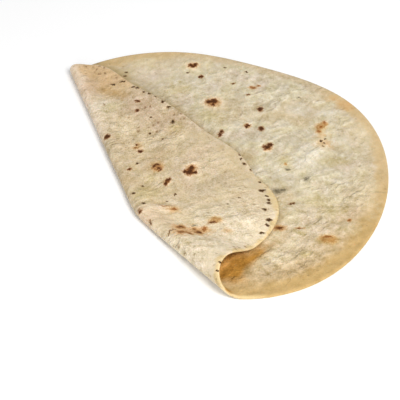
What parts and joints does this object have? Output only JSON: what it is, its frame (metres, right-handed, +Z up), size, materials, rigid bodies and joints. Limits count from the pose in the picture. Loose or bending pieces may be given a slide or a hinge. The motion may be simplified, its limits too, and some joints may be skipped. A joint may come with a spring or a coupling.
{
  "type": "folded paratha",
  "caption": "Thin hand-rolled round of griddled dough with one side turned over onto the rest, tight at one end of the fold and open in a low loop at the other.",
  "frame": {"origin": "bottom centre of the folded bread's box, on the surface that it lies on", "axes": "+Y along the fold, away from its open loop; +X from the fold towards the free edge of the base; +Z up"},
  "size_m": [0.1608, 0.2392, 0.0166],
  "materials": {
    "dough": "matte griddled dough, pale tan with a golden rim and brown scorch spots"
  },
  "bodies": {
    "root": {"paratha": "dough"}
  },
  "joints": []
}
